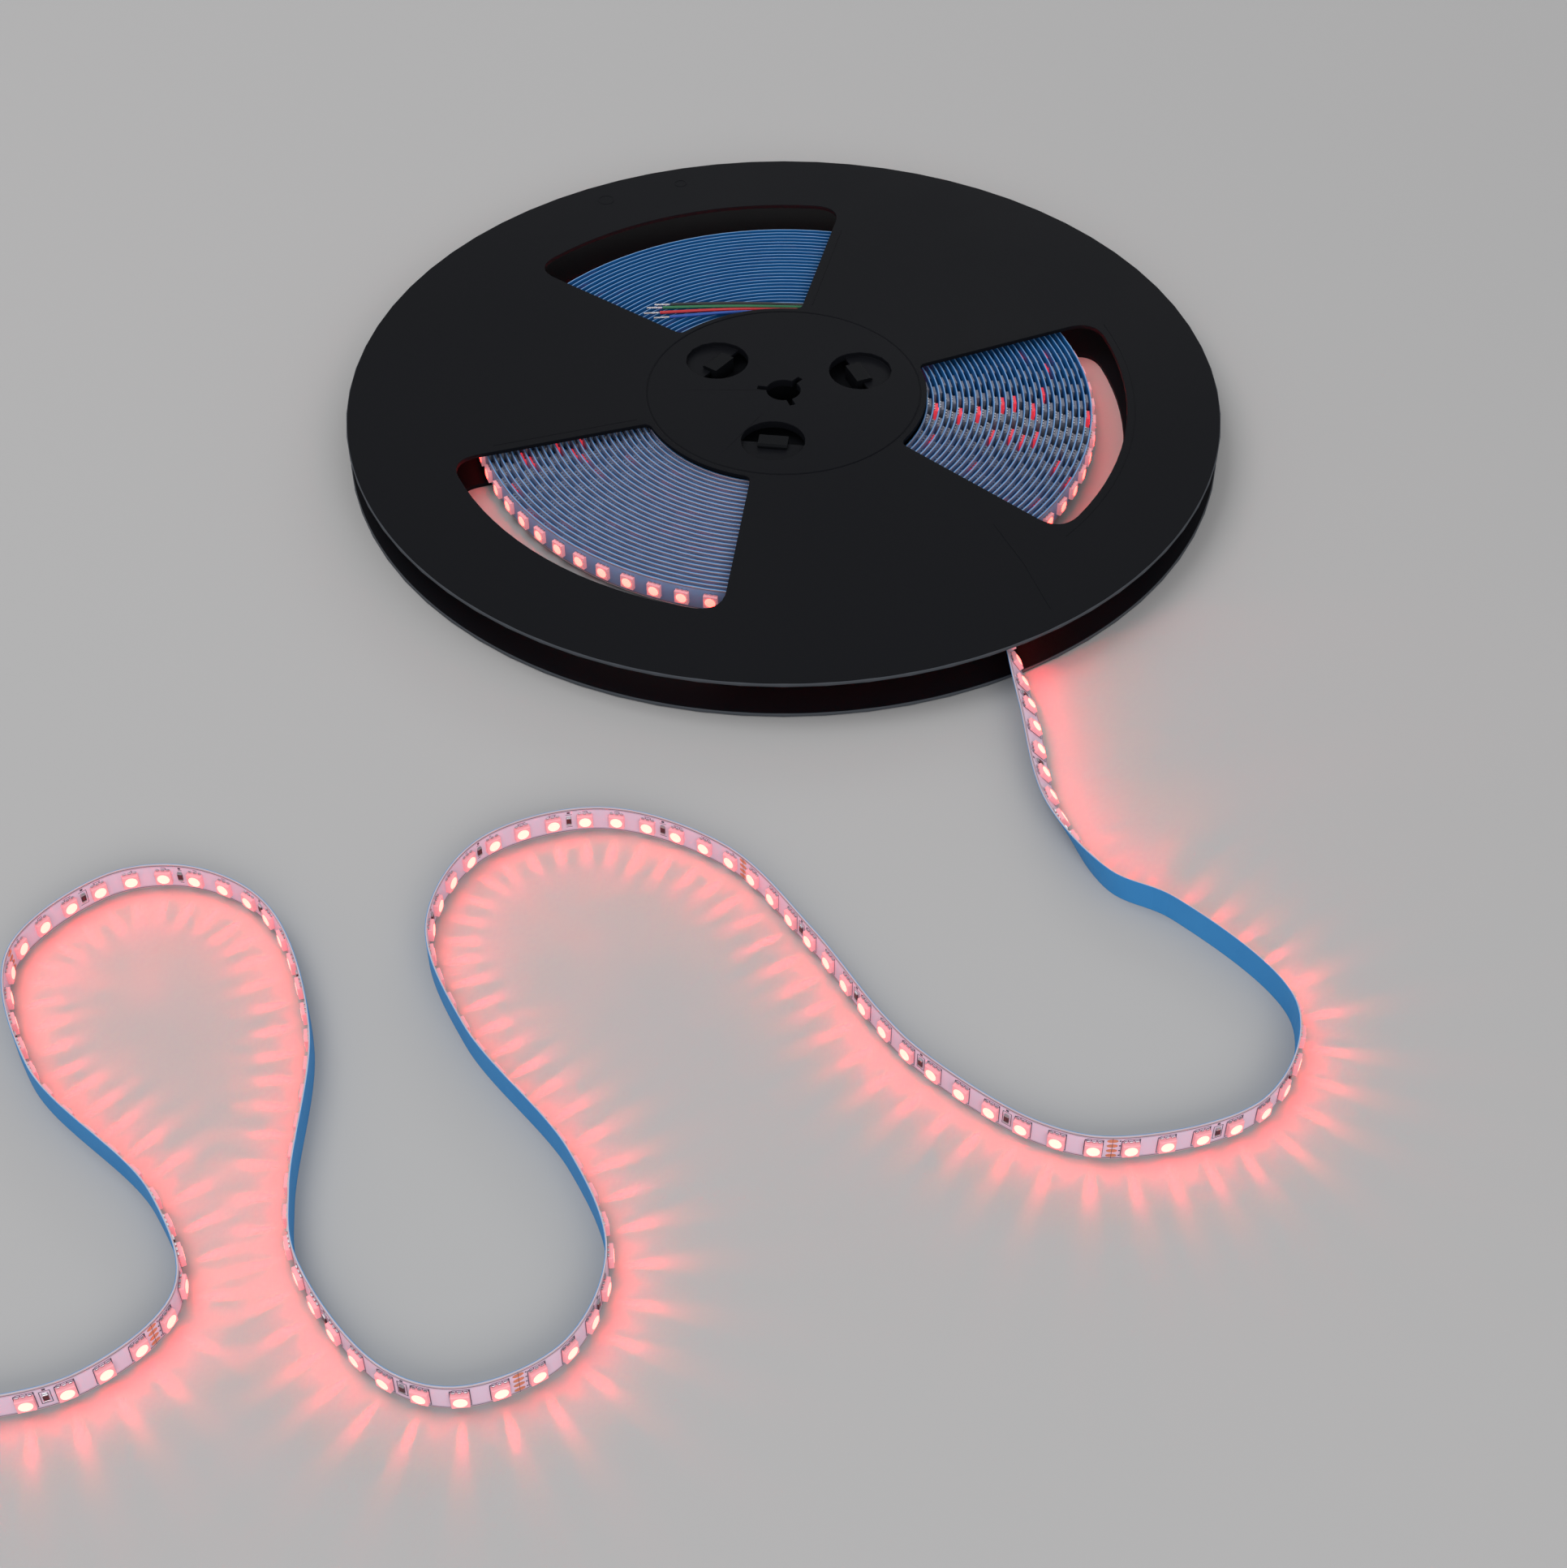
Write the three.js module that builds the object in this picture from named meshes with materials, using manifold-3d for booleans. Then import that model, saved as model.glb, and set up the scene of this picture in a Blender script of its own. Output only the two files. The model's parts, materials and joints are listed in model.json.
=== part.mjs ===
import * as THREE from 'three';
import { mergeVertices } from 'three/addons/utils/BufferGeometryUtils.js';
import Module from 'manifold-3d';

// A flanged plastic reel of colour LED strip, lying flat on its rear flange.
// Millimetres, +Z up, the reel's axis on Z and its underside at Z = 0.

const wasm = await Module();
wasm.setup();

// Driving dimensions of the reel
const flangeRadius = 165;
const flangeThickness = 1.6;
const edgeChamfer = 0.4;
const flangeSpacing = 12;
const seamGrooveWidth = 0.8;
const seamGrooveDepth = 0.4;
const arborRadius = 6.5;
const arborSlotReach = 10.1;
const arborSlotWidth = 2.2;
const windowPhase = -10;
const windowCount = 3;
const windowOuterRadius = 130;
const windowInnerRadius = 54.5;
const windowHalfAngle = 33;
const windowSideInset = 5.4;
const windowOuterFillet = 11;
const windowInnerFillet = 3;

// Driving dimensions of the hub
const barrelRadius = 52;
const barrelWall = 2;
const bossHeight = 1.4;
const webThickness = 2;
const arborTubeBore = 21.2;
const arborTubeWall = 2;
const recessOrbit = 32;
const recessPhase = 33;
const recessRadius = 12;
const recessLedgeThickness = 1.2;
const recessLedgeSetback = 1;
const hookWidth = 11;
const hookTongueThickness = 2.4;
const hookNoseReach = 4;

// Driving dimensions of the strip
const stripWidth = 10;
const stripThickness = 0.6;
const turnPitch = 2.3;
const fullTurns = 27;
const stepsPerTurn = 32;
const turnGrooveDepth = 0.8;
const rollEndAngle = -40;
const ledPitch = 10.42;
const ledSide = 5;
const ledHeight = 1.6;
const ledRooting = 0.9;

// Driving dimensions of the four leads
const leadDiameter = 1.2;
const tinDiameter = 0.7;
const tinLength = 6;

// Clearances
const seatGap = 0.3;
const cutMargin = 1;

// Derived sizes
const reelHeight = 2 * flangeThickness + flangeSpacing;
const midHeight = reelHeight / 2;
const rollBottom = flangeThickness + seatGap;
const rollTop = rollBottom + stripWidth;
const rollInnerRadius = barrelRadius + seatGap + 0.1;
const hubZoneThickness = flangeThickness + bossHeight;
const recessDepth = hubZoneThickness - recessLedgeThickness;
const rad = THREE.MathUtils.degToRad;

// Route of the free strip, by hand: x, y, height of the lower edge, and lean in degrees towards
// the back so that the lit face tips up. The first point is the outer end of the wound turns.
const tailRoute = [
  [80.5, -84.5, 2, 4],
  [75, -113, 2.6, 14],
  [79, -148, 2.8, 32],
  [82, -168, 2, 42],
  [87, -212, 0.1, 34],
  [102, -244, 0, 4],
  [121, -256, 0, 0],
  [152, -298, 0, 0],
  [138, -333, 0, 0],
  [95, -347, 0, 0],
  [73, -342, 0, 0],
  [41, -317, 0, 0],
  [29, -302, 0, 0],
  [9, -269, 0, 0],
  [-19, -233, 0, 0],
  [-59, -217, 0, 0],
  [-96, -231, 0, 0],
  [-109, -265, 0, 0],
  [-94, -306, 0, 0],
  [-60, -352, 0, 0],
  [-48, -386, 0, 0],
  [-58, -414, 0, 0],
  [-84, -427, 0, 0],
  [-105, -421, 0, 0],
  [-132, -387, 0, 0],
  [-137, -364, 0, 0],
  [-139, -308, 0, 0],
  [-155, -264, 0, 0],
  [-170, -249, 0, 0],
  [-191, -242, 0, 0],
  [-212, -247, 0, 0],
  [-234, -276, 0, 0],
  [-219, -321, 0, 0],
  [-175, -366, 0, 0],
  [-163, -398, 0, 0],
  [-184, -423, 0, 0],
  [-228, -434, 0, 0],
  [-264, -441, 0, 0],
  [-311.8, -460, 0, 0],
];
const tailSteps = 80;

// Routes of the leads over the top of the inner turns: x, y of the start, middle and end.
const leadRoutes = {
  black: [[11, 60.2], [-18, 61.4], [-45, 60.6]],
  green: [[11, 58.5], [-19, 59.4], [-48, 58.4]],
  red: [[11, 56.8], [-20, 57.2], [-49, 54.9]],
  blue: [[11, 55.1], [-18, 55.3], [-45, 52.0]],
};
const leadSteps = 6;

// A three.js geometry as a manifold solid
function solidOf(geometry) {
  const bare = geometry.index ? geometry.toNonIndexed() : geometry.clone();
  bare.deleteAttribute('normal');
  bare.deleteAttribute('uv');
  const merged = mergeVertices(bare, 1e-4);
  return new wasm.Manifold(
    new wasm.Mesh({
      numProp: 3,
      vertProperties: new Float32Array(merged.attributes.position.array),
      triVerts: new Uint32Array(merged.index.array),
    }),
  );
}

// A manifold solid as a three.js geometry
function geometryOf(solid) {
  const mesh = solid.getMesh();
  const geometry = new THREE.BufferGeometry();
  geometry.setAttribute('position', new THREE.BufferAttribute(new Float32Array(mesh.vertProperties), 3));
  geometry.setIndex(new THREE.BufferAttribute(new Uint32Array(mesh.triVerts), 1));
  geometry.computeVertexNormals();
  return geometry;
}

// A closed profile of [radius, height] points turned about Z
function turned(profile, segments) {
  const points = [...profile, profile[0]].map(([r, z]) => new THREE.Vector2(r, z));
  const lathe = new THREE.LatheGeometry(points, segments);
  lathe.rotateX(Math.PI / 2);
  return lathe;
}

// A flat outline raised from one height to another
function prism(shape, low, high, curveSegments = 12) {
  const geometry = new THREE.ExtrudeGeometry(shape, {
    depth: high - low,
    bevelEnabled: false,
    curveSegments,
  });
  geometry.translate(0, 0, low);
  return geometry;
}

// One window of the flange, about the X axis: two straight sides between two arcs
function windowShape() {
  const sideAt = (radius, sign) => {
    const along = Math.sqrt(radius ** 2 - windowSideInset ** 2);
    const a = rad(windowHalfAngle);
    const x = along * Math.cos(a) + windowSideInset * Math.sin(a);
    const y = along * Math.sin(a) - windowSideInset * Math.cos(a);
    return new THREE.Vector2(x, sign * y);
  };
  const outerCorner = sideAt(windowOuterRadius, 1);
  const innerCorner = sideAt(windowInnerRadius, 1);
  const outerArc = outerCorner.angle() - windowOuterFillet / windowOuterRadius;
  const innerArc = innerCorner.angle() - windowInnerFillet / windowInnerRadius;
  const shape = new THREE.Shape();
  const sideOut = (sign) => sideAt(windowOuterRadius - windowOuterFillet, sign);
  const sideIn = (sign) => sideAt(windowInnerRadius + windowInnerFillet, sign);
  const arcOut = new THREE.Vector2(windowOuterRadius, 0).rotateAround(new THREE.Vector2(), outerArc);
  const arcIn = new THREE.Vector2(windowInnerRadius, 0).rotateAround(new THREE.Vector2(), -innerArc);
  shape.moveTo(sideIn(-1).x, sideIn(-1).y);
  shape.lineTo(sideOut(-1).x, sideOut(-1).y);
  shape.quadraticCurveTo(outerCorner.x, -outerCorner.y, arcOut.x, -arcOut.y);
  shape.absarc(0, 0, windowOuterRadius, -outerArc, outerArc, false);
  shape.quadraticCurveTo(outerCorner.x, outerCorner.y, sideOut(1).x, sideOut(1).y);
  shape.lineTo(sideIn(1).x, sideIn(1).y);
  shape.quadraticCurveTo(innerCorner.x, innerCorner.y, arcIn.x, -arcIn.y);
  shape.absarc(0, 0, windowInnerRadius, innerArc, -innerArc, true);
  shape.quadraticCurveTo(innerCorner.x, -innerCorner.y, sideIn(-1).x, sideIn(-1).y);
  return shape;
}

// The part of a snap recess that goes right through: a round hole less its ledge, whose straight
// edge faces the arbor
function recessOpening() {
  const half = Math.acos(recessLedgeSetback / recessRadius);
  const shape = new THREE.Shape();
  shape.absarc(0, 0, recessRadius, Math.PI - half, Math.PI + half, false);
  shape.closePath();
  return shape;
}

function circle(radius) {
  return new THREE.Shape().absarc(0, 0, radius, 0, 2 * Math.PI, false);
}

// The arbor hole with its three drive slots, between two heights
function arborCutter(low, high) {
  let cutter = solidOf(prism(circle(arborRadius), low, high, 16));
  for (let i = 0; i < 3; i++) {
    const slot = new THREE.BoxGeometry(arborSlotReach, arborSlotWidth, high - low);
    slot.translate(arborSlotReach / 2, 0, (low + high) / 2);
    slot.rotateZ(rad(windowPhase + 60 + 120 * i));
    cutter = cutter.add(solidOf(slot));
  }
  return cutter;
}

// One flange, lying with its outer face at Z = 0 and its boss up
function flange() {
  const rim = flangeRadius;
  const bevel = edgeChamfer;
  const bossRadius = barrelRadius - barrelWall - seatGap;
  const profile = [
    [arborRadius / 2, 0],
    [barrelRadius - seamGrooveWidth / 2, 0],
    [barrelRadius, seamGrooveDepth],
    [barrelRadius + seamGrooveWidth / 2, 0],
    [rim - bevel, 0],
    [rim, bevel],
    [rim, flangeThickness - bevel],
    [rim - bevel, flangeThickness],
    [bossRadius, flangeThickness],
    [bossRadius, hubZoneThickness],
    [arborRadius / 2, hubZoneThickness],
  ];
  let body = solidOf(turned(profile, 72));
  body = body.subtract(arborCutter(-cutMargin, hubZoneThickness + cutMargin));
  for (let i = 0; i < windowCount; i++) {
    const window = prism(windowShape(), -cutMargin, flangeThickness + cutMargin, 8);
    window.rotateZ(rad(windowPhase + (360 / windowCount) * i));
    body = body.subtract(solidOf(window));
  }
  for (let i = 0; i < 3; i++) {
    const pocket = prism(circle(recessRadius), -cutMargin, recessDepth, 8);
    const opening = prism(recessOpening(), -cutMargin, hubZoneThickness + cutMargin, 8);
    for (const cut of [pocket, opening]) {
      cut.translate(recessOrbit, 0, 0);
      cut.rotateZ(rad(recessAngle(i)));
      body = body.subtract(solidOf(cut));
    }
  }
  return body;
}

function recessAngle(i) {
  return windowPhase + recessPhase + 120 * i;
}

// The front flange is the rear one mirrored across the reel's middle
function frontFlange() {
  return geometryOf(flange().mirror([0, 0, 1]).translate([0, 0, reelHeight]));
}

function rearFlange() {
  return geometryOf(flange());
}

// The hub: a barrel, a web and an arbor tube turned in one piece
function hubBody() {
  const barrelIn = barrelRadius - barrelWall;
  const barrelLow = flangeThickness + seatGap;
  const barrelHigh = reelHeight - barrelLow;
  const tubeIn = arborTubeBore / 2;
  const tubeOut = tubeIn + arborTubeWall;
  const tubeLow = hubZoneThickness + seatGap;
  const tubeHigh = reelHeight - tubeLow;
  const webLow = midHeight - webThickness / 2;
  const webHigh = midHeight + webThickness / 2;
  const profile = [
    [tubeIn, tubeLow],
    [tubeOut, tubeLow],
    [tubeOut, webLow],
    [barrelIn, webLow],
    [barrelIn, barrelLow],
    [barrelRadius, barrelLow],
    [barrelRadius, barrelHigh],
    [barrelIn, barrelHigh],
    [barrelIn, webHigh],
    [tubeOut, webHigh],
    [tubeOut, tubeHigh],
    [tubeIn, tubeHigh],
  ];
  return solidOf(turned(profile, 48));
}

// One snap hook, pointing up from the web, with its nose over the ledge of the recess above it.
// The outline is in the plane of the recess's radius and the height.
function hook() {
  const noseLow = reelHeight - recessDepth + seatGap;
  const noseHigh = reelHeight - seatGap;
  const face = -recessLedgeSetback - seatGap;
  const back = face - hookTongueThickness;
  const outline = new THREE.Shape();
  outline.moveTo(back, midHeight);
  outline.lineTo(face, midHeight);
  outline.lineTo(face, noseLow);
  outline.lineTo(face + hookNoseReach, noseLow);
  outline.lineTo(face + hookNoseReach, noseHigh - 0.5);
  outline.lineTo(face + hookNoseReach - 1, noseHigh);
  outline.lineTo(back, noseHigh);
  outline.closePath();
  const tongue = new THREE.ExtrudeGeometry(outline, { depth: hookWidth, bevelEnabled: false });
  tongue.rotateX(Math.PI / 2);
  tongue.translate(recessOrbit, hookWidth / 2, 0);
  return solidOf(tongue);
}

function hub() {
  let body = hubBody();
  for (let i = 0; i < 3; i++) {
    const upper = hook().rotate([0, 0, recessAngle(i)]);
    const lower = upper.mirror([0, 0, 1]).translate([0, 0, reelHeight]);
    body = body.add(upper).add(lower);
  }
  return geometryOf(body);
}

// The wound turns as one solid. A groove between turns follows the spiral on both faces, and the
// last turn ends in a step at the roll's end angle. The strip runs outwards clockwise.
function woundTurns() {
  const last = fullTurns * stepsPerTurn;
  const end = last + stepsPerTurn;
  const positions = [];
  const place = (step, offset, dip) => {
    const angle = rad(rollEndAngle - (360 / stepsPerTurn) * (step - end));
    const radius = rollInnerRadius + (turnPitch * step) / stepsPerTurn + offset;
    const x = radius * Math.cos(angle);
    const y = radius * Math.sin(angle);
    positions.push(x, y, rollTop - dip, x, y, rollBottom + dip);
    return positions.length / 3 - 2;
  };
  const grooves = [];
  const crests = [];
  const rims = [];
  for (let k = 0; k <= end; k++) {
    grooves.push(place(k, 0, turnGrooveDepth));
    crests.push(place(k, stripThickness / 2, 0));
    rims.push(k > last ? place(k, stripThickness, 0.1) : crests[k]);
  }
  const triangles = [];
  const face = (a, b, c) => {
    triangles.push(a, b, c);
    triangles.push(a + 1, c + 1, b + 1);
  };
  const faceQuad = (a, b, c, d) => {
    face(a, b, c);
    if (c !== d) face(a, c, d);
  };
  const wall = (a, b) => triangles.push(a, a + 1, b + 1, a, b + 1, b);
  for (let k = 0; k < end; k++) {
    faceQuad(grooves[k], grooves[k + 1], crests[k + 1], crests[k]);
    if (k < last) {
      faceQuad(crests[k], crests[k + 1], grooves[k + 1 + stepsPerTurn], grooves[k + stepsPerTurn]);
    } else if (k === last) {
      face(crests[k], crests[k + 1], rims[k + 1]);
    } else {
      faceQuad(crests[k], crests[k + 1], rims[k + 1], rims[k]);
    }
  }
  for (let k = 0; k < stepsPerTurn; k++) wall(grooves[k], grooves[k + 1]);
  wall(grooves[stepsPerTurn], crests[0]);
  wall(crests[0], grooves[0]);
  for (let k = last; k < end; k++) wall(rims[k + 1], rims[k]);
  wall(crests[end], rims[end]);
  wall(grooves[end], crests[end]);
  wall(crests[last], grooves[end]);
  const geometry = new THREE.BufferGeometry();
  geometry.setAttribute('position', new THREE.Float32BufferAttribute(positions, 3));
  geometry.setIndex(triangles);
  return geometry;
}

// The lamps of the outermost turn, rooted in its outer face
function outerLamps() {
  const lamps = [];
  const end = (fullTurns + 1) * stepsPerTurn;
  const outerRadius = rollInnerRadius + turnPitch * (fullTurns + 0.5);
  const lampStep = THREE.MathUtils.radToDeg(ledPitch / outerRadius);
  const count = Math.floor(360 / lampStep) - 1;
  for (let i = 0; i < count; i++) {
    const back = lampStep * (i + 0.5);
    const step = end - (back / 360) * stepsPerTurn;
    const radius = rollInnerRadius + (turnPitch * step) / stepsPerTurn + stripThickness;
    const flat = radius * Math.cos(Math.PI / stepsPerTurn);
    const box = new THREE.BoxGeometry(ledHeight + ledRooting, ledSide, ledSide);
    box.translate(flat + (ledHeight - ledRooting) / 2, 0, (rollBottom + rollTop) / 2);
    box.rotateZ(rad(rollEndAngle + back));
    lamps.push(box);
  }
  return lamps;
}

function woundStrip() {
  let body = solidOf(woundTurns());
  for (const lamp of outerLamps()) body = body.add(solidOf(lamp));
  return geometryOf(body);
}

// The free strip: a flat section carried along the route, leaning where the route says
function freeStrip() {
  const endRadius = rollInnerRadius + turnPitch * (fullTurns + 1) + stripThickness / 2;
  const endAngle = rad(rollEndAngle);
  const start = [
    endRadius * Math.cos(endAngle) + seatGap * Math.sin(endAngle),
    endRadius * Math.sin(endAngle) - seatGap * Math.cos(endAngle),
    rollBottom,
    0,
  ];
  const route = [start, ...tailRoute];
  const line = new THREE.CatmullRomCurve3(route.map(([x, y, low]) => new THREE.Vector3(x, y, low)));
  const leans = new THREE.CatmullRomCurve3(route.map(([x, y, low, lean]) => new THREE.Vector3(lean, 0, 0)));
  const positions = [];
  for (let i = 0; i <= tailSteps; i++) {
    const t = line.getUtoTmapping(i / tailSteps);
    const foot = line.getPoint(t);
    const heading = line.getTangent(t).setZ(0).normalize();
    const lean = rad(leans.getPoint(t).x);
    const left = new THREE.Vector3(-heading.y, heading.x, 0);
    const up = new THREE.Vector3(0, 0, Math.cos(lean)).addScaledVector(left, -Math.sin(lean));
    const lit = new THREE.Vector3(0, 0, Math.sin(lean)).addScaledVector(left, Math.cos(lean));
    const rise = (stripWidth * Math.cos(lean) + stripThickness * Math.sin(lean)) / 2;
    const centre = foot.clone().setZ(foot.z + rise);
    for (const [across, out] of [[-1, 1], [1, 1], [1, -1], [-1, -1]]) {
      const corner = centre.clone();
      corner.addScaledVector(up, (across * stripWidth) / 2);
      corner.addScaledVector(lit, (out * stripThickness) / 2);
      positions.push(corner.x, corner.y, Math.max(corner.z, 0));
    }
  }
  return loft(positions, tailSteps + 1, 4);
}

// A closed skin over rings of corners, with flat ends
function loft(positions, rings, corners) {
  const triangles = [];
  for (let i = 0; i + 1 < rings; i++) {
    for (let j = 0; j < corners; j++) {
      const a = i * corners + j;
      const b = i * corners + ((j + 1) % corners);
      triangles.push(a, b, b + corners, a, b + corners, a + corners);
    }
  }
  const endRing = (rings - 1) * corners;
  for (let j = 1; j + 1 < corners; j++) {
    triangles.push(0, j + 1, j);
    triangles.push(endRing, endRing + j, endRing + j + 1);
  }
  const geometry = new THREE.BufferGeometry();
  geometry.setAttribute('position', new THREE.Float32BufferAttribute(positions, 3));
  geometry.setIndex(triangles);
  geometry.computeVertexNormals();
  return geometry;
}

// A lead lies on the wound turns with its far end bare
function leadCurve(route) {
  const height = rollTop + seatGap + leadDiameter / 2;
  return new THREE.CatmullRomCurve3(route.map(([x, y]) => new THREE.Vector3(x, y, height)));
}

function lead(route) {
  const section = new THREE.Shape().absarc(0, 0, leadDiameter / 2, 0, 2 * Math.PI, false);
  return new THREE.ExtrudeGeometry(section, {
    steps: leadSteps,
    curveSegments: 4,
    bevelEnabled: false,
    extrudePath: leadCurve(route),
  });
}

function tinnedEnd(route) {
  const curve = leadCurve(route);
  const along = curve.getTangent(1);
  const tin = new THREE.CylinderGeometry(tinDiameter / 2, tinDiameter / 2, tinLength, 8);
  tin.applyQuaternion(new THREE.Quaternion().setFromUnitVectors(new THREE.Vector3(0, 1, 0), along));
  const middle = curve.getPoint(1).addScaledVector(along, tinLength / 2 + seatGap);
  tin.translate(middle.x, middle.y, middle.z);
  return tin;
}

function material(color, roughness, metalness = 0) {
  return new THREE.MeshStandardMaterial({ color, roughness, metalness });
}

const reel = new THREE.Group();

function place(name, geometry, look) {
  const mesh = new THREE.Mesh(geometry, look);
  mesh.name = name;
  reel.add(mesh);
}

const leadColors = { black: 0x16171a, green: 0x1f6b45, red: 0xc4222c, blue: 0x1d4fa8 };

place('rear_flange', rearFlange(), material(0x1e2024, 0.55));
place('front_flange', frontFlange(), material(0x1e2024, 0.55));
place('hub', hub(), material(0x1b1d20, 0.5));
place('wound_strip', woundStrip(), material(0x8fa3c4, 0.5));
place('free_strip', freeStrip(), material(0xd9c9d6, 0.45));
for (const [name, route] of Object.entries(leadRoutes)) {
  place(`lead_${name}`, lead(route), material(leadColors[name], 0.4));
  place(`tinned_end_${name}`, tinnedEnd(route), material(0xb9bcc0, 0.35, 1));
}

export default reel;
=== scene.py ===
import json
import math
import random

import bmesh
import bpy
import numpy as np
from mathutils import Vector
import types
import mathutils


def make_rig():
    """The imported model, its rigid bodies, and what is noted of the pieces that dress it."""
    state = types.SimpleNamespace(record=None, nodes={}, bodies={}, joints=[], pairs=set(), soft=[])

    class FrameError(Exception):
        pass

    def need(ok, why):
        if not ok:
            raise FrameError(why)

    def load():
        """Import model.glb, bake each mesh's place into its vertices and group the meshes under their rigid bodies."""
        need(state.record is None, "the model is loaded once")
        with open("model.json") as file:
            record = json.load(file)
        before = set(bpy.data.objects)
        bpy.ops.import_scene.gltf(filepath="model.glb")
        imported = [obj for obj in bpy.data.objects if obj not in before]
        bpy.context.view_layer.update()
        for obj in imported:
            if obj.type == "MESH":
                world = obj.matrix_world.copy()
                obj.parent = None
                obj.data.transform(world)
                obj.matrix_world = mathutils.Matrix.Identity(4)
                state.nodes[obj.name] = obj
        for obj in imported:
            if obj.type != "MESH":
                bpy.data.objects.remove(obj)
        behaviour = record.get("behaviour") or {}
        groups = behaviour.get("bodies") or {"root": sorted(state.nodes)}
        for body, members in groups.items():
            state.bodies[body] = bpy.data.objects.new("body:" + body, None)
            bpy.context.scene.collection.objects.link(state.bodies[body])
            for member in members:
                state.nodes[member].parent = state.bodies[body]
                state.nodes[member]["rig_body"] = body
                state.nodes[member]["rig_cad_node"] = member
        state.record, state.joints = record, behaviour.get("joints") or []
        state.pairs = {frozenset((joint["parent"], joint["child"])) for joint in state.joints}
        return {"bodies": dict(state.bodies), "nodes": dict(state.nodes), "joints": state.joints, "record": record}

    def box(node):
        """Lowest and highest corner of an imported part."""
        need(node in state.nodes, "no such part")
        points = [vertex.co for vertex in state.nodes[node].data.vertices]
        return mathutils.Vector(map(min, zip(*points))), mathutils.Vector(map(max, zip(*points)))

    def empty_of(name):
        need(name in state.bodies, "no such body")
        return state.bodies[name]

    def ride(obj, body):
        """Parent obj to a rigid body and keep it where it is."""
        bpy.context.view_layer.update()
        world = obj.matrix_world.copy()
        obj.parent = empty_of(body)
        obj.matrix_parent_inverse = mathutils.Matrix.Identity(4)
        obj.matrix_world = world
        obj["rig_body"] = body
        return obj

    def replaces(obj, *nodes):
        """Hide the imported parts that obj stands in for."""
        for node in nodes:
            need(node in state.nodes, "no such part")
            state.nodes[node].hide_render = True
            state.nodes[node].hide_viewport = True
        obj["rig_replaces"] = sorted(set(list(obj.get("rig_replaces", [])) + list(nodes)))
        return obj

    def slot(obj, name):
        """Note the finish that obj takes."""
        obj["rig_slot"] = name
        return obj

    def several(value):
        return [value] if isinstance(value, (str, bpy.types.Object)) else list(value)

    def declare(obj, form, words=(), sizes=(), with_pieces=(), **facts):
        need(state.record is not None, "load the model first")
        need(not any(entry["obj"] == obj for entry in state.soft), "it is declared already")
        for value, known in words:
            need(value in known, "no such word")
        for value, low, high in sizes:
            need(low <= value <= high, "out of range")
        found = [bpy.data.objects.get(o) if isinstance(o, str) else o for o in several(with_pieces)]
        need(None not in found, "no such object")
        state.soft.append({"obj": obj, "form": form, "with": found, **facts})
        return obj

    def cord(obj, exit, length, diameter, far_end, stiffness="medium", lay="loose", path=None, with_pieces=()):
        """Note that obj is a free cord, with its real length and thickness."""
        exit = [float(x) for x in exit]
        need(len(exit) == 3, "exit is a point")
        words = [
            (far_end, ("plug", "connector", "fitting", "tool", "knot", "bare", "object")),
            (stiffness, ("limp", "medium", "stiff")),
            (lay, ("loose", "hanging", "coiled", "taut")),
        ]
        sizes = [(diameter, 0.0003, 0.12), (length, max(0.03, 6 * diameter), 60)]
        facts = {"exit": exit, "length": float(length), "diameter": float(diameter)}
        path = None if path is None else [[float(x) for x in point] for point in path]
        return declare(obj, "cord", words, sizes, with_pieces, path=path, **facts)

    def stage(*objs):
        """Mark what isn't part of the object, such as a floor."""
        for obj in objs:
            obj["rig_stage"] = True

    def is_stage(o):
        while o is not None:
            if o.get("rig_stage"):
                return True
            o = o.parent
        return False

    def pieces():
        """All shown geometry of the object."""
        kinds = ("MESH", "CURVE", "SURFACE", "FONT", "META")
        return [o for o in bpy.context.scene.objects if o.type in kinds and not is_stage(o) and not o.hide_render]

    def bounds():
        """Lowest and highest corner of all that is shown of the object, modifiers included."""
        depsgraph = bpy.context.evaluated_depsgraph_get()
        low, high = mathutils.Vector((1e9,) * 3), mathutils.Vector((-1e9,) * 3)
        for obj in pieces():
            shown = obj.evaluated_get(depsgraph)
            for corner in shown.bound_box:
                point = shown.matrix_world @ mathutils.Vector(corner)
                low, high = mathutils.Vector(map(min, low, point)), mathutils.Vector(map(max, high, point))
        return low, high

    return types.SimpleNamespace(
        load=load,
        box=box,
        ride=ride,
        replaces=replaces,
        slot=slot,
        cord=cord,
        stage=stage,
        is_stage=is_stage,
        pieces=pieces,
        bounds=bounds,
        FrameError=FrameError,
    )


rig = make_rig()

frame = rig.load()
cad_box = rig.bounds()
mm = 0.001


# Camera. It looks down on the reel from the front, over the free strip, with no roll.
# Its line of sight passes in front of the reel's centre, which keeps the strip in the picture.
frame_pixels = 1931
film_width = 36
focal_pixels = 3030
camera_pitch = math.radians(45)
sight_distance = 945 * mm
centre_above_sight = 139 * mm

camera_data = bpy.data.cameras.new("camera")
camera_data.sensor_fit = "HORIZONTAL"
camera_data.sensor_width = film_width
camera_data.lens = film_width * focal_pixels / frame_pixels
camera = bpy.data.objects.new("camera", camera_data)
bpy.context.scene.collection.objects.link(camera)
camera.location = (
    0,
    -sight_distance * math.cos(camera_pitch) - centre_above_sight * math.sin(camera_pitch),
    sight_distance * math.sin(camera_pitch) - centre_above_sight * math.cos(camera_pitch),
)
camera.rotation_euler = (math.pi / 2 - camera_pitch, 0, 0)
bpy.context.scene.camera = camera


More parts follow.
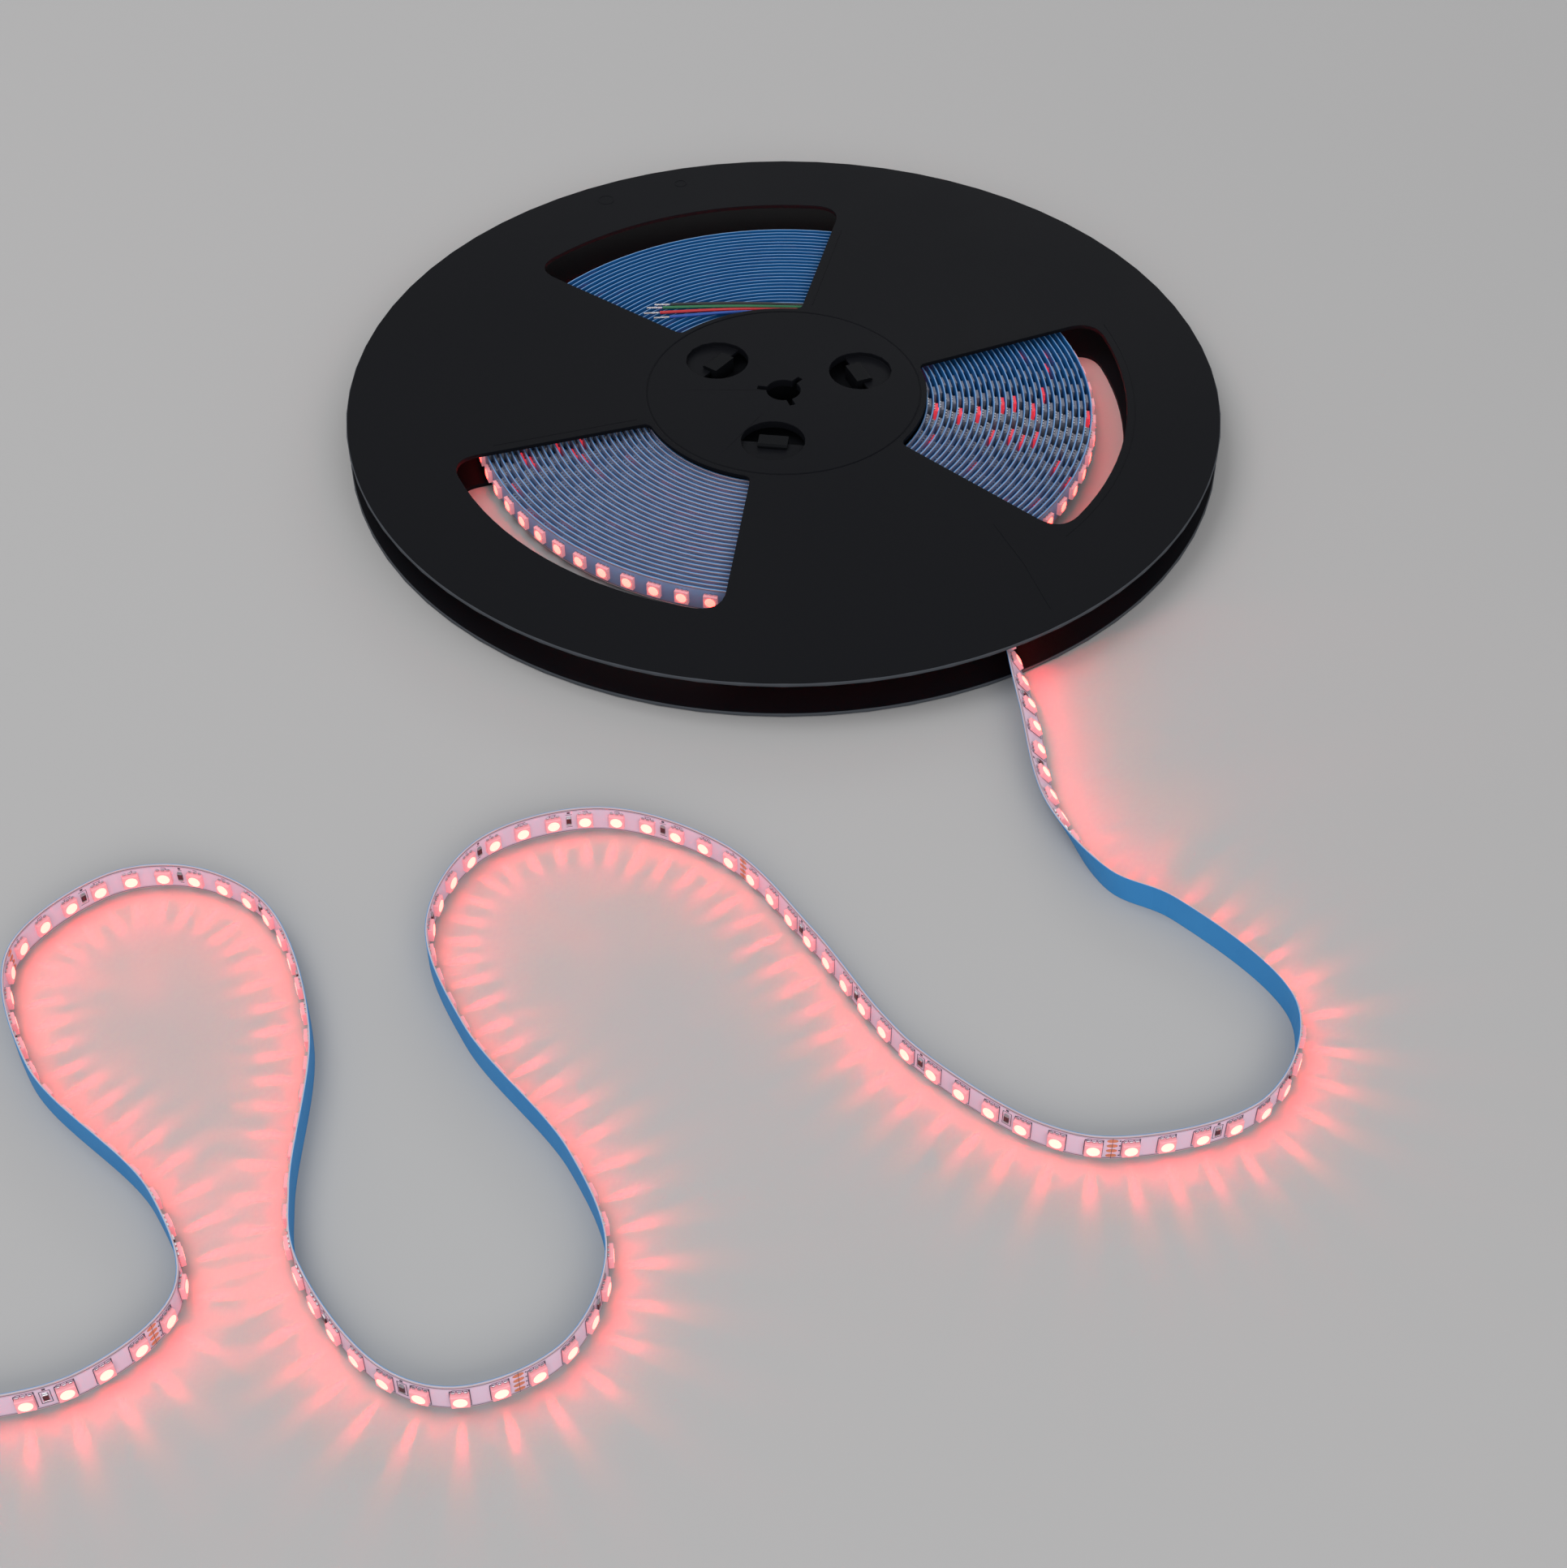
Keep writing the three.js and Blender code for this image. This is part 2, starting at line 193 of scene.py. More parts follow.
# Free strip. It is a thin white circuit board 10 mm wide on a blue paper liner, and runs off the
# outer turn, over the rim and along the floor on its edge. It is cut at its last line of pads.
strip_width = 10 * mm
strip_thickness = 0.6 * mm
board_share = 0.7
turn_pitch = 2.3 * mm
full_turns = 27
roll_inner_radius = 52.4 * mm
roll_end_angle = math.radians(-40)
roll_bottom = 1.9 * mm
seat_gap = 0.3 * mm
ribbon_step = 2.5 * mm

# x, y and height of the lower edge in millimetres, then the lean in degrees
route_after_roll = [
    (80.5, -84.5, 2, 4), (75, -113, 2.6, 14), (79, -148, 2.8, 32), (82, -168, 2, 42),
    (87, -212, 0.1, 34), (102, -244, 0, 4), (121, -256, 0, 0), (152, -298, 0, 0),
    (138, -333, 0, 0), (95, -347, 0, 0), (73, -342, 0, 0), (41, -317, 0, 0),
    (29, -302, 0, 0), (9, -269, 0, 0), (-19, -233, 0, 0), (-59, -217, 0, 0),
    (-96, -231, 0, 0), (-109, -265, 0, 0), (-94, -306, 0, 0), (-60, -352, 0, 0),
    (-48, -386, 0, 0), (-58, -414, 0, 0), (-84, -427, 0, 0), (-105, -421, 0, 0),
    (-132, -387, 0, 0), (-137, -364, 0, 0), (-139, -308, 0, 0), (-155, -264, 0, 0),
    (-170, -249, 0, 0), (-191, -242, 0, 0), (-212, -247, 0, 0), (-234, -276, 0, 0),
    (-219, -321, 0, 0), (-175, -366, 0, 0), (-163, -398, 0, 0), (-184, -423, 0, 0),
    (-228, -434, 0, 0), (-264, -441, 0, 0), (-311.8, -460, 0, 0),
]


def curve_through(points, steps):
    """Points on the centripetal Catmull-Rom curve through the given ones."""
    given = np.array(points, float)
    given = np.vstack([2 * given[0] - given[1], given, 2 * given[-1] - given[-2]])
    found = []
    for before, start, end, after in zip(given, given[1:], given[2:], given[3:]):
        first, middle, last = (
            np.linalg.norm(b[:3] - a[:3]) ** 0.5
            for a, b in ((before, start), (start, end), (end, after))
        )
        leave = (start - before) / first - (end - before) / (first + middle) + (end - start) / middle
        arrive = (end - start) / middle - (after - start) / (middle + last) + (after - end) / last
        leave, arrive = leave * middle, arrive * middle
        for t in np.arange(steps) / steps:
            found.append(
                start + leave * t
                + (3 * (end - start) - 2 * leave - arrive) * t**2
                + (2 * (start - end) + leave + arrive) * t**3
            )
    return np.array(found + [given[-2]])


def unit_vectors(vectors):
    """The same directions, each with a length of one."""
    return vectors / np.linalg.norm(vectors, axis=1, keepdims=True)


class Run:
    """A stretch of strip: its middle, heading, up edge and lit side at each distance along it."""

    def __init__(self, middles, heading, up, lit):
        steps = np.linalg.norm(np.diff(middles, axis=0), axis=1)
        self.distance = np.concatenate([[0], np.cumsum(steps)])
        self.columns = np.hstack([middles, heading, up, lit])

    def at(self, distances):
        rows = np.stack([np.interp(distances, self.distance, c) for c in self.columns.T], 1)
        heading, up, lit = (unit_vectors(rows[:, i:i + 3]) for i in (3, 6, 9))
        return rows[:, :3], heading, up, lit


def free_run():
    """The free strip, from just off the roll's outer turn to its cut end."""
    radius = roll_inner_radius + turn_pitch * (full_turns + 1) + strip_thickness / 2
    outward = np.array([math.cos(roll_end_angle), math.sin(roll_end_angle)])
    clockwise = np.array([outward[1], -outward[0]])
    start = radius * outward + seat_gap * clockwise
    points = [(*start, roll_bottom, 0)]
    points += [(x * mm, y * mm, z * mm, angle) for x, y, z, angle in route_after_roll]
    line = curve_through(points, 24)
    heading = np.gradient(line[:, :3], axis=0)
    heading[:, 2] = 0
    heading = unit_vectors(heading)
    left = np.stack([-heading[:, 1], heading[:, 0], 0 * heading[:, 0]], 1)
    lean = np.radians(line[:, 3:4])
    vertical = np.array([[0, 0, 1.0]])
    up = vertical * np.cos(lean) - left * np.sin(lean)
    lit = vertical * np.sin(lean) + left * np.cos(lean)
    middles = line[:, :3] + vertical * (strip_width * np.cos(lean) + strip_thickness * np.sin(lean)) / 2
    return Run(middles, heading, up, lit)


def srgb(red, green, blue):
    """A colour read off as 0 to 255, as the shader's own linear one."""
    shares = [value / 255 for value in (red, green, blue)]
    return tuple(((v + 0.055) / 1.055) ** 2.4 if v > 0.04 else v / 12.92 for v in shares) + (1,)


class Wire:
    """A number in a finish. Python's operators on it add Math nodes."""

    def __init__(self, finish, socket):
        self.finish, self.socket = finish, socket

    def maths(self, operation, *values):
        return self.finish.node("ShaderNodeMath", {"operation": operation}, dict(enumerate(values)))[0]

    def __add__(self, other):
        return self.maths("ADD", self, other)

    def __sub__(self, other):
        return self.maths("SUBTRACT", self, other)

    def __rsub__(self, other):
        return self.maths("SUBTRACT", other, self)

    def __mul__(self, other):
        return self.maths("MULTIPLY", self, other)

    def __gt__(self, other):
        return self.maths("GREATER_THAN", self, other)

    def __lt__(self, other):
        return self.maths("LESS_THAN", self, other)

    def __abs__(self):
        return self.maths("ABSOLUTE", self)

    __radd__ = __add__
    __rmul__ = __mul__


class Finish:
    """A material: one Principled shader, and the nodes that vary its colour, roughness and bump."""

    def __init__(self, name, color, roughness, **fixed):
        self.material = bpy.data.materials.new(name)
        self.material.use_nodes = True
        self.tree = self.material.node_tree
        self.shader = self.tree.nodes["Principled BSDF"]
        self.color = color
        self.put(self.shader, {"Base Color": color, "Roughness": roughness})
        self.put(self.shader, {key.replace("_", " "): value for key, value in fixed.items()})

    def node(self, kind, settings=None, values=None):
        made = self.tree.nodes.new(kind)
        for key, value in (settings or {}).items():
            setattr(made, key, value)
        self.put(made, values or {})
        named = {out.name: Wire(self, out) for out in reversed(made.outputs)}
        return {**named, **{i: Wire(self, out) for i, out in enumerate(made.outputs)}}

    def put(self, made, values):
        for key, value in values.items():
            if isinstance(value, Wire):
                self.tree.links.new(value.socket, made.inputs[key])
            else:
                made.inputs[key].default_value = value

    def place(self):
        """The surface's own place, in metres."""
        return self.node("ShaderNodeTexCoord")["Object"]

    def noise(self, scale, detail=3, roughness=0.55):
        values = {"Vector": self.place(), "Scale": scale, "Detail": detail, "Roughness": roughness}
        return self.node("ShaderNodeTexNoise", None, values)[0]

    def blend(self, share, first, second):
        """Colours first and second, mixed by share."""
        return self.node("ShaderNodeMix", {"data_type": "RGBA"}, {0: share, 6: first, 7: second})[2]

    def vary(self, scale, other, strength=1.0):
        """Drifts the colour towards another one in soft patches."""
        share = self.noise(scale) * strength
        self.color = self.blend(share, self.color, other)
        self.put(self.shader, {"Base Color": self.color})

    def bump(self, height, distance, strength=0.5):
        values = {"Height": height, "Distance": distance, "Strength": strength}
        self.put(self.shader, {"Normal": self.node("ShaderNodeBump", None, values)["Normal"]})


# Stripes along the board's face, as shares of its width from its middle
track_low, track_high = 0.385, 0.425
stripe_low, stripe_high = 0.43, 0.462
margin_low = 0.455


def board_face(name, light, dark):
    """White solder mask over a darker track, with a dark line near each edge and a pale margin."""
    finish = Finish(name, light, 0.38, Specular_IOR_Level=0.45)
    run = finish.node("ShaderNodeUVMap", {"uv_map": "along_strip"})[0]
    across = finish.node("ShaderNodeSeparateXYZ", None, {0: run})["Y"]
    off_centre = abs(across - 0.5)
    margin = off_centre > margin_low
    line = (off_centre > stripe_low) * (off_centre < stripe_high)
    track = (off_centre > track_low) * (off_centre < track_high)
    patches = finish.noise(70) * 0.35
    color = finish.blend(patches, light, dark)
    color = finish.blend(track * 0.35, color, srgb(150, 128, 150))
    color = finish.blend(margin, color, srgb(198, 172, 176))
    color = finish.blend(line * 0.85, color, srgb(92, 78, 96))
    finish.put(finish.shader, {"Base Color": color, "Roughness": finish.noise(220) * 0.12 + 0.33})
    finish.bump(finish.noise(900, 2) + line * 0.6, 0.04 * mm, 0.35)
    return finish.material


def board_edge(name, light, dark):
    """The cut edge of the board, rough and without a mask."""
    finish = Finish(name, light, 0.6)
    finish.vary(160, dark, 0.7)
    finish.bump(finish.noise(1800, 2), 0.05 * mm, 0.4)
    return finish.material


def liner(name, light, dark):
    """Matte blue release paper."""
    finish = Finish(name, dark, 0.62, Specular_IOR_Level=0.25)
    finish.vary(55, light, 0.8)
    finish.put(finish.shader, {"Roughness": finish.noise(160) * 0.2 + 0.5})
    finish.bump(finish.noise(1400, 3), 0.05 * mm, 0.35)
    return finish.material


# The board's white mask is coloured pink and lavender: painted glow of its own red lamps, with a painted bluish
# reflection
free_finishes = [
    board_face("board_face", srgb(232, 206, 224), srgb(204, 188, 218)),
    board_edge("board_edge", srgb(198, 188, 196), srgb(158, 148, 162)),
    liner("liner", srgb(66, 146, 204), srgb(50, 128, 190)),
]

# Corners of the section as shares of width and thickness, each with the finish of the side after it
strip_section = [
    (-0.496, 0.5, 0), (0.496, 0.5, 1), (0.5, 0.42, 1), (0.5, 0.5 - board_share, 2),
    (0.5, -0.42, 2), (0.496, -0.5, 2), (-0.496, -0.5, 2), (-0.5, -0.42, 2),
    (-0.5, 0.5 - board_share, 1), (-0.5, 0.42, 1),
]


def mesh_piece(name, points, faces, finishes, numbers):
    """A mesh object from points and faces, with the number of each face's finish."""
    mesh = bpy.data.meshes.new(name)
    mesh.from_pydata([tuple(p) for p in points], [], [tuple(f) for f in faces])
    mesh.polygons.foreach_set("material_index", numbers)
    for finish in finishes:
        mesh.materials.append(finish)
    piece = bpy.data.objects.new(name, mesh)
    bpy.context.scene.collection.objects.link(piece)
    return piece


def ribbon(name, run, distances, finishes):
    """The strip's section carried along a run, with a map of distance and share of width."""
    middle, heading, up, lit = run.at(distances)
    corners = len(strip_section)
    points = np.stack(
        [middle + up * strip_width * a + lit * strip_thickness * b for a, b, _ in strip_section], 1
    ).reshape(-1, 3)
    points[:, 2] = points[:, 2].clip(0)
    faces, numbers, marks = [], [], []
    for i in range(len(distances) - 1):
        for j in range(corners):
            k = (j + 1) % corners
            faces.append((i * corners + j, i * corners + k, (i + 1) * corners + k, (i + 1) * corners + j))
            numbers.append(strip_section[j][2])
            shares = strip_section[j][0] + 0.5, strip_section[k][0] + 0.5
            for ring, share in ((i, shares[0]), (i, shares[1]), (i + 1, shares[1]), (i + 1, shares[0])):
                marks.append((distances[ring], share))
    last = (len(distances) - 1) * corners
    for ring, order in ((0, range(corners)), (last, reversed(range(corners)))):
        faces.append([ring + j for j in order])
        numbers.append(1)
        marks.extend((distances[0 if ring == 0 else -1], 0.5) for _ in range(corners))
    piece = mesh_piece(name, points, faces, finishes, numbers)
    layer = piece.data.uv_layers.new(name="along_strip")
    layer.data.foreach_set("uv", np.array(marks, np.float32).ravel())
    outward(piece)
    return piece


def outward(piece):
    """Turns the faces of a closed piece outwards."""
    shell = bmesh.new()
    shell.from_mesh(piece.data)
    bmesh.ops.recalc_face_normals(shell, faces=shell.faces)
    shell.to_mesh(piece.data)
    shell.free()


tail = free_run()
tail_length = tail.distance[-1]
tail_rings = np.linspace(0, tail_length, int(tail_length / ribbon_step) + 1)
free_strip = ribbon("free_strip_board", tail, tail_rings, free_finishes)
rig.replaces(free_strip, "free_strip")
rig.slot(free_strip, "strip_face")
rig.ride(free_strip, "root")


# Lamps of the free strip. Each is a square white housing, soldered by six tabs, with a round clear
# window over its three chips. The strip is on; the red light on its housings is painted glow, a pink colour and faint
# emission.
lamp_pitch = 156.25 * mm / 15
lamp_side = 5 * mm
lamp_height = 1.55 * mm
lamp_rounding = 0.16 * mm
window_radius = 1.95 * mm
window_rise = 0.05 * mm
window_depth = 0.3 * mm
window_crown = 0.03 * mm
window_green = 0.36
window_blue = 0.26
tab_width = 0.9 * mm
tab_reach = 0.6 * mm
tab_height = 0.45 * mm
tab_spacing = 1.65 * mm
first_cut_place = (93 * mm, -347 * mm)
lamps_per_unit = 15


# A housing finish with painted glow: its colour and faint emission stand in for red light on white plastic
def housing(name, color, glow, glow_strength):
    finish = Finish(name, color, 0.42, Emission_Color=glow, Emission_Strength=glow_strength)
    finish.vary(240, tuple(0.8 * c for c in color[:3]) + (1,), 0.5)
    finish.bump(finish.noise(1500, 2), 0.03 * mm, 0.3)
    return finish.material


def solder():
    finish = Finish("solder", srgb(206, 204, 208), 0.28, Metallic=1.0)
    finish.vary(900, srgb(150, 148, 156), 0.6)
    finish.bump(finish.noise(2400, 2), 0.04 * mm, 0.4)
    return finish.material


def lit_window(name, strength):
    """The clear window of a lamp that is on: it looks a warm white, and throws red light."""
    finish = Finish(name, srgb(255, 236, 220), 0.3, Emission_Strength=strength)
    green, blue = window_green / strength, window_blue / strength
    glow = finish.blend(finish.noise(500), (1.0, green, blue, 1), (1.0, 0.88 * green, 0.88 * blue, 1))
    finish.put(finish.shader, {"Emission Color": glow})
    return finish.material


# Painted glow: the white housings are coloured pink and given a faint pink emission
lit_housing = housing("lit_housing", srgb(240, 160, 168), srgb(255, 160, 166), 0.24)
solder_finish = solder()
lit_window_finish = lit_window("lit_window", 4.0)


def deselect():
    if bpy.context.mode != "OBJECT":
        bpy.ops.object.mode_set(mode="OBJECT")
    bpy.ops.object.select_all(action="DESELECT")


def block(size, place, rounding=0.0):
    """A cube set to its size and place, its edges bevelled in edit mode."""
    deselect()
    bpy.ops.mesh.primitive_cube_add(size=1, location=place, scale=size)
    made = bpy.context.active_object
    bpy.ops.object.transform_apply(location=True, rotation=False, scale=True)
    if rounding:
        bpy.ops.object.mode_set(mode="EDIT")
        bpy.ops.mesh.select_all(action="SELECT")
        bpy.ops.mesh.bevel(offset=rounding, segments=1, affect="EDGES")
        bpy.ops.object.mode_set(mode="OBJECT")
    return made


def disc(radius, low, high, sides, crown=0.0, stretch=1.0):
    """A short round, its top face inset and raised into a low crown."""
    deselect()
    bpy.ops.mesh.primitive_cylinder_add(
        vertices=sides, radius=radius, depth=high - low,
        location=(0, 0, (low + high) / 2), scale=(stretch, 1, 1),
    )
    made = bpy.context.active_object
    bpy.ops.object.transform_apply(location=True, rotation=False, scale=True)
    if crown:
        top = max(made.data.polygons, key=lambda face: face.center.z).index
        for face in made.data.polygons:
            face.select = face.index == top
        bpy.ops.object.mode_set(mode="EDIT")
        bpy.ops.mesh.select_mode(type="FACE")
        bpy.ops.mesh.inset(thickness=radius * 0.45)
        bpy.ops.transform.translate(value=(0, 0, crown))
        bpy.ops.object.mode_set(mode="OBJECT")
    return made


def shape_of(*parts):
    """Points, faces and finish numbers of (object, number) parts, which are then removed."""
    points, faces, numbers = [], [], []
    for part, number in parts:
        start = len(points)
        points.extend(tuple(v.co) for v in part.data.vertices)
        faces.extend([start + i for i in face.vertices] for face in part.data.polygons)
        numbers.extend([number] * len(part.data.polygons))
        bpy.data.objects.remove(part)
    return np.array(points), faces, numbers


def moved(shape, along=0.0, across=0.0, outwards=0.0):
    points, faces, numbers = shape
    return points + np.array([along, across, outwards]), faces, numbers


def together(*shapes):
    points, faces, numbers = [], [], []
    for more_points, more_faces, more_numbers in shapes:
        start = sum(len(p) for p in points)
        points.append(more_points)
        faces.extend([start + i for i in face] for face in more_faces)
        numbers.extend(more_numbers)
    return np.vstack(points), faces, numbers


def lay_on(name, run, distances, shape, finishes):
    """Copies of a shape on the lit face of a run: x along it, y towards its lower edge, z outwards."""
    points, faces, numbers = shape
    middle, heading, up, lit = run.at(distances)
    base = middle + lit * strip_thickness / 2
    laid = (
        base[:, None]
        + heading[:, None] * points[None, :, :1]
        - up[:, None] * points[None, :, 1:2]
        + lit[:, None] * points[None, :, 2:]
    ).reshape(-1, 3)
    count = len(points)
    copies = [[i * count + v for v in face] for i in range(len(distances)) for face in faces]
    return mesh_piece(name, laid, copies, finishes, numbers * len(distances))


def lamp_shape(rounding, window_sides, crown):
    """One lamp: its housing, window and six tabs."""
    body = block((lamp_side, lamp_side, lamp_height), (0, 0, lamp_height / 2), rounding)
    window = disc(window_radius, lamp_height - window_depth, lamp_height + window_rise, window_sides, crown)
    tab = block(
        (tab_width, 2 * tab_reach, tab_height), (0, lamp_side / 2, tab_height / 2), rounding * 0.4
    )
    tab = shape_of((tab, 1))
    tabs = [moved(tab, i * tab_spacing, -lamp_side * j) for i in (-1, 0, 1) for j in (0, 1)]
    return together(shape_of((body, 0), (window, 2)), *tabs)


def lamp_distances(low, high):
    """Distances of the lamps between two others, in step with the cut lines."""
    first = math.ceil((low - cut_distance) / lamp_pitch - 0.5)
    last = math.floor((high - cut_distance) / lamp_pitch - 0.5)
    return cut_distance + (np.arange(first, last + 1) + 0.5) * lamp_pitch


nearest = np.hypot(*(tail.columns[:, :2] - np.array(first_cut_place)).T).argmin()
cut_distance = tail.distance[nearest]
tail_lamps = lamp_distances(lamp_side, tail_length - lamp_side / 2)
free_lamps = lay_on(
    "free_strip_lamps", tail, tail_lamps, lamp_shape(lamp_rounding, 16, window_crown),
    [lit_housing, solder_finish, lit_window_finish],
)
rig.slot(free_lamps, "strip_face")
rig.ride(free_lamps, "root")


# Printed marks, resistors and pads of the free strip. A box with one cut corner is printed round
# each lamp, a resistor sits after every third lamp, and four copper pads cross each cut line.
box_length = 5.5 * mm
box_height = 7.4 * mm
box_cut = 0.9 * mm
print_line = 0.2 * mm
print_rise = 0.02 * mm
tick_length = 0.35 * mm
tick_width = 0.5 * mm
tick_place = 3.05 * mm
resistor_length = 3.2 * mm
resistor_width = 1.6 * mm
resistor_height = 0.55 * mm
resistor_cap_length = 0.5 * mm
resistor_solder_length = 0.55 * mm
bracket_height = 5.4 * mm
bracket_length = 2.8 * mm
patch_length = 0.9 * mm
patch_width = 0.8 * mm
patch_place = 3.5 * mm
pad_length = 3.2 * mm
pad_width = 1.5 * mm
pad_spacing = 2.2 * mm
pad_rise = 0.04 * mm
pad_crown = 0.02 * mm
dot_side = 0.45 * mm
dot_place = 2.15 * mm
cut_line_width = 0.12 * mm
cut_line_length = 9.4 * mm
cut_line_rise = 0.045 * mm


def printed():
    finish = Finish("printed_mark", srgb(58, 50, 70), 0.5)
    finish.vary(300, srgb(84, 72, 96), 0.6)
    return finish.material


def copper():
    finish = Finish("pad_copper", srgb(240, 158, 124), 0.38, Metallic=0.4)
    finish.vary(500, srgb(222, 132, 98), 0.8)
    finish.bump(finish.noise(1600, 3), 0.03 * mm, 0.4)
    return finish.material


def resistor_body():
    finish = Finish("resistor_body", srgb(62, 24, 34), 0.35)
    finish.vary(700, srgb(92, 34, 44), 0.6)
    return finish.material


def printed_box():
    """A printed outline: a sheet with one corner cut, its middle taken out, and given its height."""
    deselect()
    bpy.ops.mesh.primitive_plane_add(size=1, scale=(1, 1, 1))
    made = bpy.context.active_object
    made.scale = (box_length, box_height, 1)
    bpy.ops.object.transform_apply(location=False, rotation=False, scale=True)
    for vertex in made.data.vertices:
        vertex.select = vertex.co.x > 0 and vertex.co.y < 0
    for edge in made.data.edges:
        edge.select = False
    for face in made.data.polygons:
        face.select = False
    bpy.ops.object.mode_set(mode="EDIT")
    bpy.ops.mesh.select_mode(type="VERT")
    bpy.ops.mesh.bevel(offset=box_cut, affect="VERTICES")
    bpy.ops.mesh.select_all(action="SELECT")
    bpy.ops.mesh.inset(thickness=print_line)
    bpy.ops.mesh.delete(type="FACE")
    bpy.ops.mesh.select_all(action="SELECT")
    bpy.ops.mesh.extrude_region_move(TRANSFORM_OT_translate={"value": (0, 0, print_rise)})
    bpy.ops.object.mode_set(mode="OBJECT")
    return shape_of((made, 0))


def bar(length, width, along, across):
    """A printed bar, as high as the print."""
    made = block((length, width, print_rise), (0, 0, print_rise / 2))
    return moved(shape_of((made, 0)), along, across)


printed_finish = printed()
lamp_marks = together(
    printed_box(),
    *[bar(tick_length, tick_width, (i - 1.5) * tab_spacing, -tick_place) for i in range(4)],
)
free_print = lay_on("free_strip_lamp_marks", tail, tail_lamps, lamp_marks, [printed_finish])

unit_length = lamp_pitch * lamps_per_unit
first_unit = math.floor(-cut_distance / unit_length)
units = np.arange(first_unit, math.ceil((tail_length - cut_distance) / unit_length))
tail_resistors = np.array([
    cut_distance + (number * lamps_per_unit + after) * lamp_pitch
    for number in units
    for after in range(3, lamps_per_unit, 3)
])
tail_resistors = tail_resistors[(tail_resistors > lamp_side) & (tail_resistors < tail_length - lamp_side)]
cap = shape_of((
    block((resistor_width, resistor_cap_length, resistor_height), (0, 0, resistor_height / 2), 0.08 * mm), 1
))
fillet = shape_of((
    block(
        (resistor_width * 0.9, resistor_solder_length, resistor_height * 0.5),
        (0, 0, resistor_height / 4), 0.1 * mm,
    ), 1
))
core = block(
    (resistor_width * 0.96, resistor_length - 2 * resistor_cap_length, resistor_height * 0.94),
    (0, 0, resistor_height / 2), 0.05 * mm,
)
cap_centre = (resistor_length - resistor_cap_length) / 2
fillet_centre = (resistor_length + resistor_solder_length) / 2 - 0.1 * mm
resistor = together(
    shape_of((core, 0)),
    moved(cap, 0, -cap_centre), moved(cap, 0, cap_centre),
    moved(fillet, 0, -fillet_centre), moved(fillet, 0, fillet_centre),
)
resistors = lay_on("free_strip_resistors", tail, tail_resistors, resistor, [resistor_body(), solder_finish])
resistor_marks = together(
    bar(print_line, bracket_height, -bracket_length / 2, 0),
    bar(print_line, bracket_height, bracket_length / 2, 0),
    bar(bracket_length, print_line, 0, -bracket_height / 2),
    bar(bracket_length, print_line, 0, bracket_height / 2),
    bar(patch_length, patch_width, 0, -patch_place),
)
resistor_print = lay_on("free_strip_resistor_marks", tail, tail_resistors, resistor_marks, [printed_finish])

tail_cuts = cut_distance + units * unit_length
tail_cuts = tail_cuts[(tail_cuts > lamp_side) & (tail_cuts < tail_length - pad_length)]


def half(made):
    """The part of an object at x below zero, its cut face filled."""
    deselect()
    bpy.context.view_layer.objects.active = made
    made.select_set(True)
    bpy.ops.object.mode_set(mode="EDIT")
    bpy.ops.mesh.select_all(action="SELECT")
    bpy.ops.mesh.bisect(plane_co=(0, 0, 0), plane_no=(1, 0, 0), use_fill=True, clear_outer=True)
    bpy.ops.object.mode_set(mode="OBJECT")
    return made


def pad():
    return disc(pad_width / 2, 0, pad_rise, 16, pad_crown, pad_length / pad_width)


def row(shape):
    """Four copies across the strip, a pad's spacing apart."""
    return together(*[moved(shape, 0, (i - 1.5) * pad_spacing) for i in range(4)])


def in_print(shape):
    """A shape with all its faces in the pads' second finish, the print."""
    points, faces, _ = shape
    return points, faces, [1] * len(faces)


pad_finish = copper()
dots = in_print(row(bar(dot_side, dot_side, -dot_place, 0)))
cut_line = in_print(moved(bar(cut_line_width, cut_line_length, 0, 0), outwards=cut_line_rise))
free_pads = lay_on(
    "free_strip_pads", tail, tail_cuts, together(row(shape_of((pad(), 0))), dots, cut_line),
    [pad_finish, printed_finish],
)
end_pads = lay_on(
    "free_strip_end_pads", tail, [tail_length], together(row(shape_of((half(pad()), 0))), dots),
    [pad_finish, printed_finish],
)
strip_pieces = [free_lamps, free_print, resistors, resistor_print, free_pads, end_pads]
for piece in strip_pieces[1:]:
    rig.slot(piece, "strip_face")
    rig.ride(piece, "root")

tail_path = tail.at(np.linspace(0, tail_length, 300))[0]
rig.cord(
    free_strip, exit=tail_path[0], length=tail_length, diameter=strip_width, far_end="bare",
    stiffness="limp", lay="loose", path=tail_path, with_pieces=strip_pieces,
)


# Light of the free strip. Each lamp throws a tall, narrow red beam forwards, which falls on the floor
# as one tooth, and a wide one downwards, which joins the teeth along the strip's foot.
beam_start = 0.6 * mm
beam_color = (1.0, 0.01, 0.012)
beams = {
    "tooth": dict(power=0.018, angle=84, narrowing=0.26, dip=0.5),
    "foot": dict(power=0.0095, angle=140, narrowing=1.0, dip=1.6),
}

middle, heading, up, lit = tail.at(tail_lamps)
for number, (place, outwards) in enumerate(zip(middle, lit)):
    for kind, beam in beams.items():
        data = bpy.data.lights.new(f"{kind}_{number}", "SPOT")
        data.energy = beam["power"]
        data.color = beam_color
        data.spot_size = math.radians(beam["angle"])
        data.spot_blend = 1.0
        data.shadow_soft_size = 0.5 * mm
        lamp = bpy.data.objects.new(data.name, data)
        bpy.context.scene.collection.objects.link(lamp)
        lamp.location = place + outwards * (strip_thickness / 2 + lamp_height + window_rise + beam_start)
        aim = Vector((outwards[0], outwards[1], outwards[2] - beam["dip"]))
        lamp.rotation_euler = aim.to_track_quat("-Z", "Y").to_euler()
        lamp.scale = (beam["narrowing"], 1, 1)


